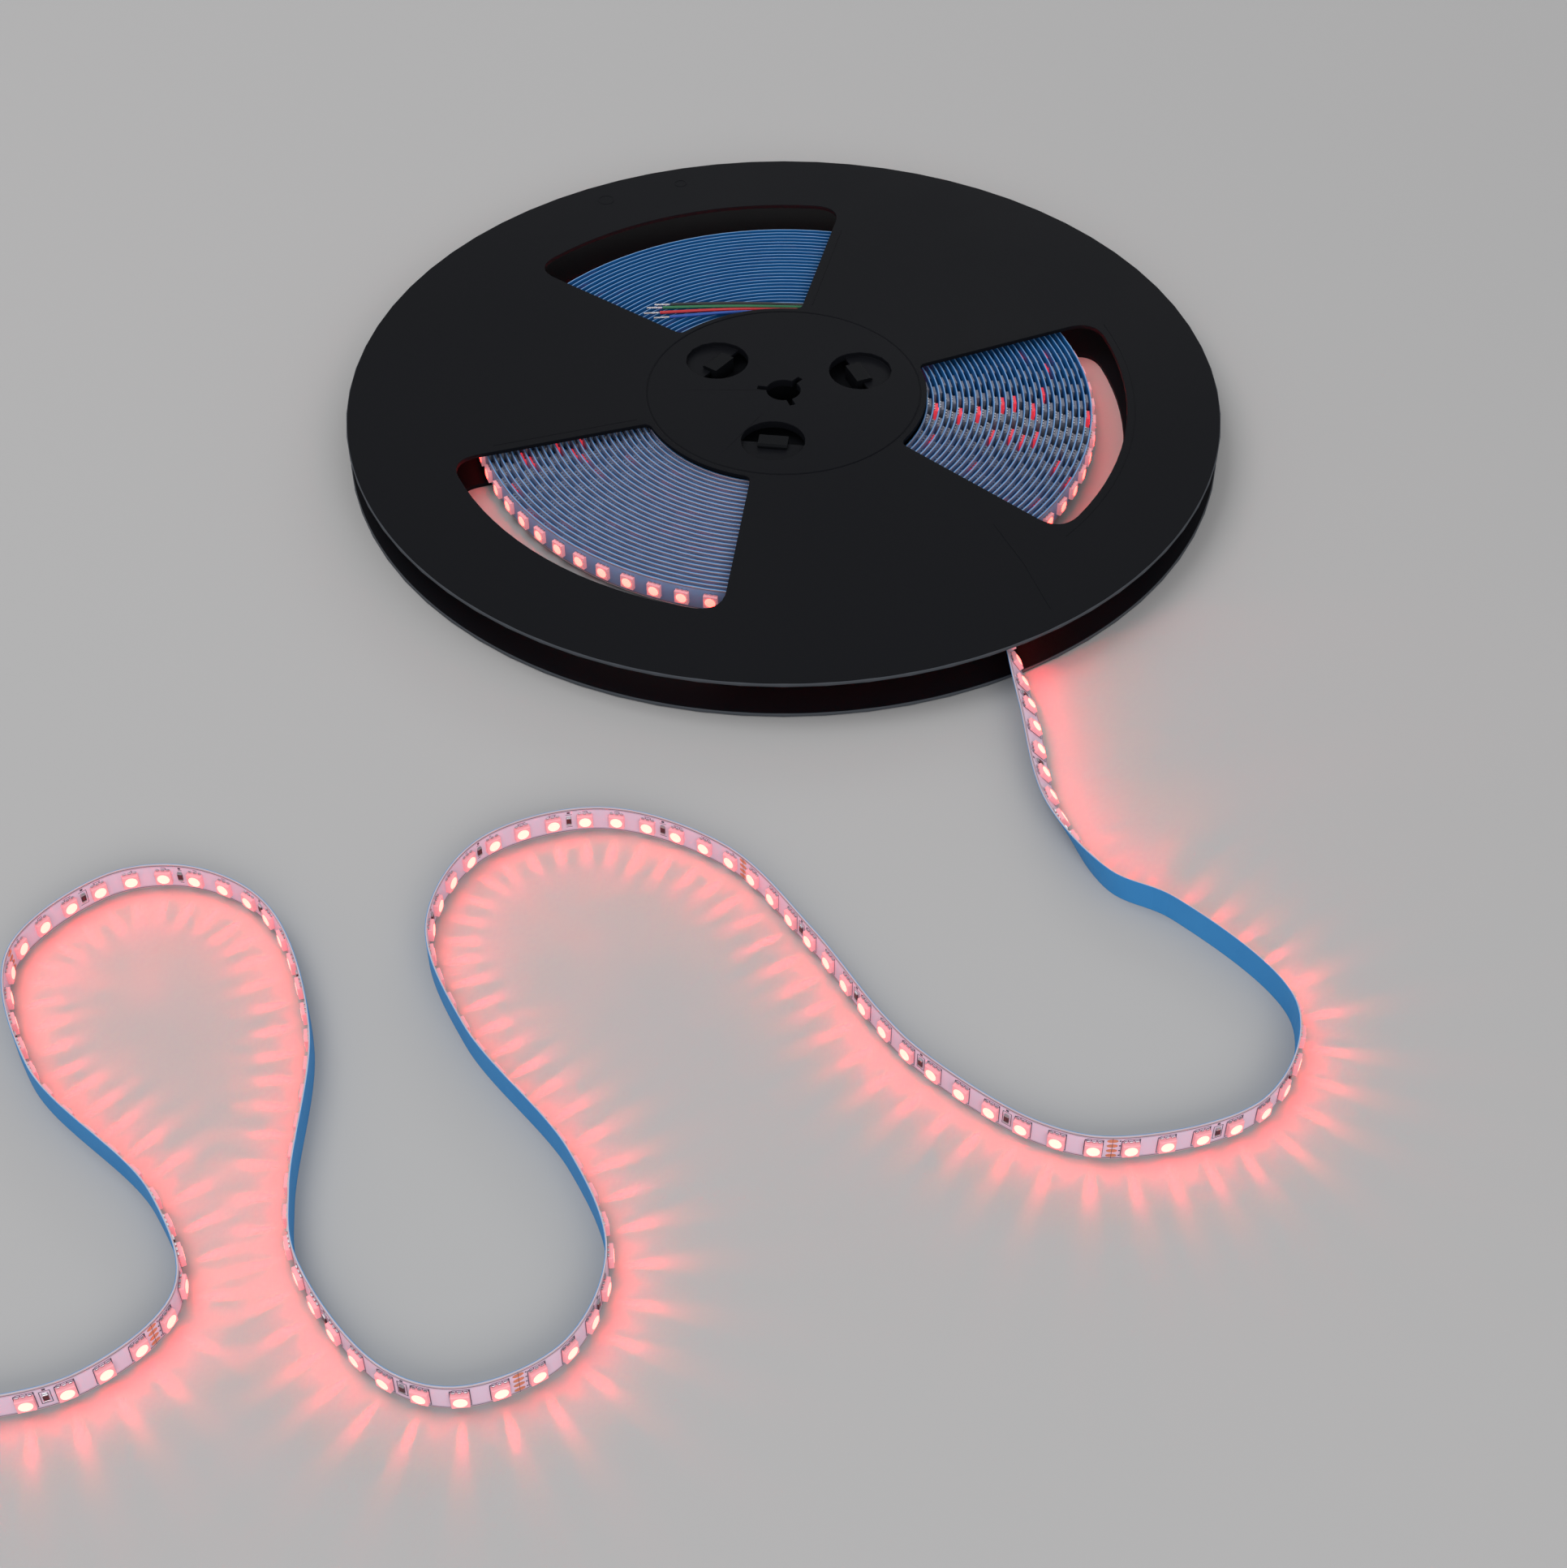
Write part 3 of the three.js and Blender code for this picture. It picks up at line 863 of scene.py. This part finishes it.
# Leads. Four insulated wires are soldered to the inner end of the strip, and lie over the first
# turns with their tinned ends bare.
lead_radius = 0.6 * mm
lead_height = roll_bottom + strip_width + seat_gap + lead_radius
lead_routes = {
    "black": [(11, 60.2), (-18, 61.4), (-45, 60.6)],
    "green": [(11, 58.5), (-19, 59.4), (-48, 58.4)],
    "red": [(11, 56.8), (-20, 57.2), (-49, 54.9)],
    "blue": [(11, 55.1), (-18, 55.3), (-45, 52.0)],
}
lead_colors = {"black": (24, 24, 28), "green": (26, 112, 70), "red": (196, 32, 42), "blue": (28, 82, 172)}


def insulation(name, color):
    finish = Finish(name, color, 0.3, Specular_IOR_Level=0.5)
    finish.vary(200, tuple(0.7 * c for c in color[:3]) + (1,), 0.6)
    finish.bump(finish.noise(900, 2), 0.03 * mm, 0.3)
    return finish.material


def tinned():
    finish = Finish("tinned_copper", srgb(196, 194, 198), 0.3, Metallic=1.0)
    finish.vary(900, srgb(150, 140, 136), 0.7)
    finish.bump(finish.noise(3000, 2), 0.06 * mm, 0.6)
    return finish.material


tinned_finish = tinned()
for color, points in lead_routes.items():
    centre = curve_through([(x * mm, y * mm, lead_height) for x, y in points], 12)
    wire = bpy.data.curves.new(f"lead_{color}_insulation", "CURVE")
    wire.dimensions = "3D"
    wire.bevel_depth = lead_radius
    wire.bevel_resolution = 4
    wire.use_fill_caps = True
    line = wire.splines.new("POLY")
    line.points.add(len(centre) - 1)
    for point, place in zip(line.points, centre):
        point.co = (*place, 1)
    wire.materials.append(insulation(f"insulation_{color}", srgb(*lead_colors[color])))
    lead = bpy.data.objects.new(wire.name, wire)
    bpy.context.scene.collection.objects.link(lead)
    end = frame["nodes"][f"tinned_end_{color}"]
    end.data.materials.clear()
    end.data.materials.append(tinned_finish)
    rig.replaces(lead, f"lead_{color}")
    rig.slot(lead, f"lead_{color}")
    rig.ride(lead, "root")
    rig.cord(
        lead, exit=centre[0], length=float(np.linalg.norm(np.diff(centre, axis=0), axis=1).sum()),
        diameter=2 * lead_radius, far_end="bare", stiffness="limp", lay="loose", with_pieces=[end],
    )


# Wound strip. The same strip lies in 28 turns round the hub, lamps outwards, each turn on the lamps
# of the one inside it, its finishes darkened and blued as painted shade and bounce light. Only the outer
# turn shows its lamps lit, and a few glow through the gaps, their housings with painted red glow.
roll_steps_per_turn = 96
roll_seed = 5
glowing_share = 0.1


def roll_run():
    """The wound strip as one spiral, from its inner end to where the free strip begins."""
    steps = np.arange((full_turns + 1) * roll_steps_per_turn + 1)
    back = steps[-1] - steps
    angle = roll_end_angle + 2 * math.pi * back / roll_steps_per_turn
    radius = roll_inner_radius + turn_pitch * steps / roll_steps_per_turn + strip_thickness / 2
    lit = np.stack([np.cos(angle), np.sin(angle), 0 * angle], 1)
    heading = np.stack([lit[:, 1], -lit[:, 0], 0 * angle], 1)
    up = np.tile([0, 0, 1.0], (len(steps), 1))
    middles = lit * radius[:, None]
    middles[:, 2] = roll_bottom + strip_width / 2
    run = Run(middles, heading, up, lit)
    run.distance -= run.distance[-1]
    return run


def plain_housing():
    finish = Finish("plain_housing", srgb(186, 186, 196), 0.45)
    finish.vary(300, srgb(140, 142, 158), 0.8)
    finish.bump(finish.noise(1500, 2), 0.03 * mm, 0.3)
    return finish.material


def dark_window():
    finish = Finish("dark_window", srgb(216, 196, 140), 0.25)
    finish.vary(400, srgb(176, 150, 110), 0.7)
    return finish.material


roll = roll_run()
# Painted shade and blue bounce light: the wound board, edges and liner are darker, bluer copies of the free strip's
# finishes
wound_shade_finishes = [
    board_face("wound_board_face_shaded", srgb(128, 152, 192), srgb(84, 116, 166)),
    board_edge("wound_board_edge_shaded", srgb(124, 162, 202), srgb(62, 112, 170)),
    liner("wound_liner_shaded", srgb(24, 104, 164), srgb(8, 80, 142)),
]
wound_board = ribbon("wound_strip_board", roll, roll.distance, wound_shade_finishes)
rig.replaces(wound_board, "wound_strip")
outer_start = -2 * math.pi * (roll_inner_radius + turn_pitch * (full_turns + 0.5))
roll_lamps = lamp_distances(roll.distance[0] + lamp_side, -lamp_side)
inner_lamps = roll_lamps[roll_lamps < outer_start]
outer_lamps = roll_lamps[roll_lamps >= outer_start]
wound_window = lit_window("wound_lit_window", 23.0)
# A tenth of the inner lamps, picked at random, are lit; their red housings with faint emission are painted glints of
# light through the gaps
picked = random.Random(roll_seed)
glowing = np.array([picked.random() < glowing_share for _ in inner_lamps])
small_lamp = lamp_shape(0.0, 8, 0.0)
red_glow_housing = housing("glowing_housing", srgb(214, 70, 84), srgb(255, 64, 80), 0.55)
wound_plain = lay_on(
    "wound_strip_lamps", roll, inner_lamps[~glowing], small_lamp,
    [plain_housing(), solder_finish, dark_window()],
)
wound_glowing = lay_on(
    "wound_strip_glowing_lamps", roll, inner_lamps[glowing], small_lamp,
    [red_glow_housing, solder_finish, wound_window],
)
wound_outer = lay_on(
    "wound_strip_outer_lamps", roll, outer_lamps, lamp_shape(0.0, 12, 0.0),
    [lit_housing, solder_finish, wound_window],
)
for piece in (wound_board, wound_plain, wound_glowing, wound_outer):
    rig.slot(piece, "strip_edges")
    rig.ride(piece, "root")


# Hub. It is one moulding in the same black plastic: a barrel, a web and an arbor tube, with three
# hooks up and three down that snap into the recesses of the flanges.
# Radius beyond which the flange's outer edge carries a painted highlight
highlight_radius = 164.55 * mm


def moulded_black(name, dark, light, grain):
    """Matte black moulded plastic, a little dusty, with a painted highlight: its outer edge is coloured lighter."""
    finish = Finish(name, dark, 0.5, Specular_IOR_Level=0.055)
    finish.vary(18, light, 0.5)
    place = finish.node("ShaderNodeSeparateXYZ", None, {0: finish.place()})
    square = place["X"] * place["X"] + place["Y"] * place["Y"]
    # Painted highlight: past this radius the colour is blended towards light grey, in place of light catching the
    # flange's edge
    rim = square > highlight_radius**2
    painted_rim_highlight = finish.blend(rim * 0.55, finish.color, srgb(92, 96, 102))
    smear = finish.noise(9, 4, 0.6)
    finish.put(finish.shader, {"Base Color": painted_rim_highlight, "Roughness": smear * 0.2 + 0.5})
    finish.bump(finish.noise(grain, 3), 0.05 * mm, 0.3)
    return finish.material


hub_node = frame["nodes"]["hub"]
hub_node.data.materials.clear()
hub_node.data.materials.append(moulded_black("hub_plastic", srgb(11, 12, 15), srgb(17, 19, 22), 1500))


# Flanges. Each is one flat moulding 1.6 mm thick with three windows, a hub seam, an arbor hole and
# three recesses. Its edges are broken by the mould, and it carries faint witness lines.
edge_break = 0.18 * mm
reel_plastic = moulded_black("reel_plastic", srgb(12, 13, 17), srgb(20, 21, 25), 1300)


def with_broken_edges(name, node):
    """A copy of a flange, its loose triangles merged and its sharp edges bevelled."""
    deselect()
    piece = bpy.data.objects.new(name, frame["nodes"][node].data.copy())
    bpy.context.scene.collection.objects.link(piece)
    piece.data.materials.clear()
    piece.data.materials.append(reel_plastic)
    bpy.context.view_layer.objects.active = piece
    piece.select_set(True)
    bpy.ops.object.mode_set(mode="EDIT")
    bpy.ops.mesh.select_all(action="SELECT")
    bpy.ops.mesh.remove_doubles(threshold=0.005 * mm)
    bpy.ops.object.mode_set(mode="OBJECT")
    bevel = piece.modifiers.new("edges", "BEVEL")
    bevel.width = edge_break
    bevel.segments = 2
    bevel.limit_method = "ANGLE"
    bevel.angle_limit = math.radians(35)
    bevel.use_clamp_overlap = False
    bpy.ops.object.modifier_apply(modifier="edges")
    bpy.ops.object.shade_smooth_by_angle(angle=math.radians(35))
    normals = piece.modifiers.new("normals", "WEIGHTED_NORMAL")
    normals.weight = 100
    normals.keep_sharp = True
    bpy.ops.object.modifier_apply(modifier="normals")
    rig.replaces(piece, node)
    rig.slot(piece, "reel_plastic")
    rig.ride(piece, "root")


for flange in ("front_flange", "rear_flange"):
    with_broken_edges(f"{flange}_moulding", flange)


# Witness lines of the front flange, left by the inserts of its mould: low ribs beside two windows,
# an arc outside the third, and two small rings near the rim.
window_phase = -10
window_half_angle = 33
window_side_inset = 5.4
rib_width = 0.5 * mm
rib_height = 0.1 * mm
rib_root = 0.05 * mm
rib_reaches = (58, 85, 113)
top_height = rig.box("front_flange")[1].z


def polar(radius, degrees):
    """x and y of a place at a radius in millimetres and an angle."""
    return radius * mm * math.cos(math.radians(degrees)), radius * mm * math.sin(math.radians(degrees))


def rib(points, closed=False):
    """A low ridge along points on the flange's face, narrower at its top."""
    line = np.array(points, float)
    ahead = np.roll(line, -1, 0) - np.roll(line, 1, 0)
    if not closed:
        ahead[0], ahead[-1] = line[1] - line[0], line[-1] - line[-2]
    ahead = unit_vectors(ahead)
    side = np.stack([-ahead[:, 1], ahead[:, 0]], 1) * rib_width / 2
    rings = []
    for share, height in ((-1, -rib_root), (-0.6, rib_height), (0.6, rib_height), (1, -rib_root)):
        rings.append(np.column_stack([line + side * share, np.full(len(line), top_height + height)]))
    points = np.stack(rings, 1).reshape(-1, 3)
    faces = []
    count = len(line)
    for i in range(count if closed else count - 1):
        k = (i + 1) % count
        faces += [(4 * i + j, 4 * i + (j + 1) % 4, 4 * k + (j + 1) % 4, 4 * k + j) for j in range(4)]
    if not closed:
        faces += [(3, 2, 1, 0), tuple(4 * (count - 1) + j for j in range(4))]
    return points, faces, [0] * len(faces)


def beside_window(centre, offset):
    """A straight line outside a window's side, at an offset from it."""
    side = math.radians(centre - window_half_angle)
    across = (window_side_inset - offset) * mm
    along = np.array([math.cos(side), math.sin(side)])
    normal = np.array([-along[1], along[0]])
    return [along * reach * mm + normal * across for reach in rib_reaches]


witness = together(
    rib(beside_window(window_phase + 120, 3.7)),
    rib(beside_window(window_phase + 240, 3.7)),
    rib([polar(133, a) for a in range(window_phase - 31, window_phase + 32, 3)]),
    rib([polar(110, -47), polar(133, -50.6), polar(156, -54)]),
    rib([np.array(polar(153, 119)) + polar(3.2, a) for a in range(0, 360, 15)], True),
    rib([np.array(polar(153, 106.5)) + polar(2.4, a) for a in range(0, 360, 15)], True),
)
witness_points, witness_faces, witness_numbers = witness
witness_lines = mesh_piece(
    "front_flange_witness_lines", witness_points, witness_faces, [reel_plastic], witness_numbers
)
outward(witness_lines)
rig.slot(witness_lines, "reel_plastic")
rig.ride(witness_lines, "root")


# Floor, light and world. The floor is plain pale grey, and soft lamps above and behind give the
# black plastic its thin bright edges, with a painted highlight added along the flange rims.
def floor_finish():
    finish = Finish("floor", srgb(174, 174, 174), 0.75, Specular_IOR_Level=0.2)
    finish.vary(3, srgb(177, 174, 174), 0.6)
    return finish.material


deselect()
bpy.ops.mesh.primitive_plane_add(size=12, location=(0, 0, -0.05 * mm))
floor = bpy.context.active_object
floor.name = "floor"
floor.data.materials.append(floor_finish())
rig.stage(floor)


def soft_lamp(name, place, size, power, color=(1, 1, 1)):
    data = bpy.data.lights.new(name, "AREA")
    data.shape = "RECTANGLE"
    data.size, data.size_y = size
    data.energy = power
    data.color = color
    lamp = bpy.data.objects.new(name, data)
    bpy.context.scene.collection.objects.link(lamp)
    lamp.location = place
    toward = -lamp.location.normalized()
    lamp.rotation_euler = toward.to_track_quat("-Z", "Y").to_euler()
    return lamp


soft_lamp("key", (-0.9, 0.2, 1.6), (1.2, 1.2), 12)
soft_lamp("back", (0.5, 1.7, 0.8), (1.8, 0.4), 5)
soft_lamp("front", (0.3, -1.7, 0.9), (1.6, 0.8), 13)

world = bpy.data.worlds.new("world")
bpy.context.scene.world = world
world.use_nodes = True
world.node_tree.nodes["Background"].inputs["Color"].default_value = (0.98, 0.99, 1.0, 1)
world.node_tree.nodes["Background"].inputs["Strength"].default_value = 0.55
bpy.context.scene.view_settings.view_transform = "Standard"


with open("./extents.json", "w") as sizes:
    boxes = {"cad": cad_box, "visual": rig.bounds()}
    json.dump({name: [list(corner) for corner in box] for name, box in boxes.items()}, sizes)
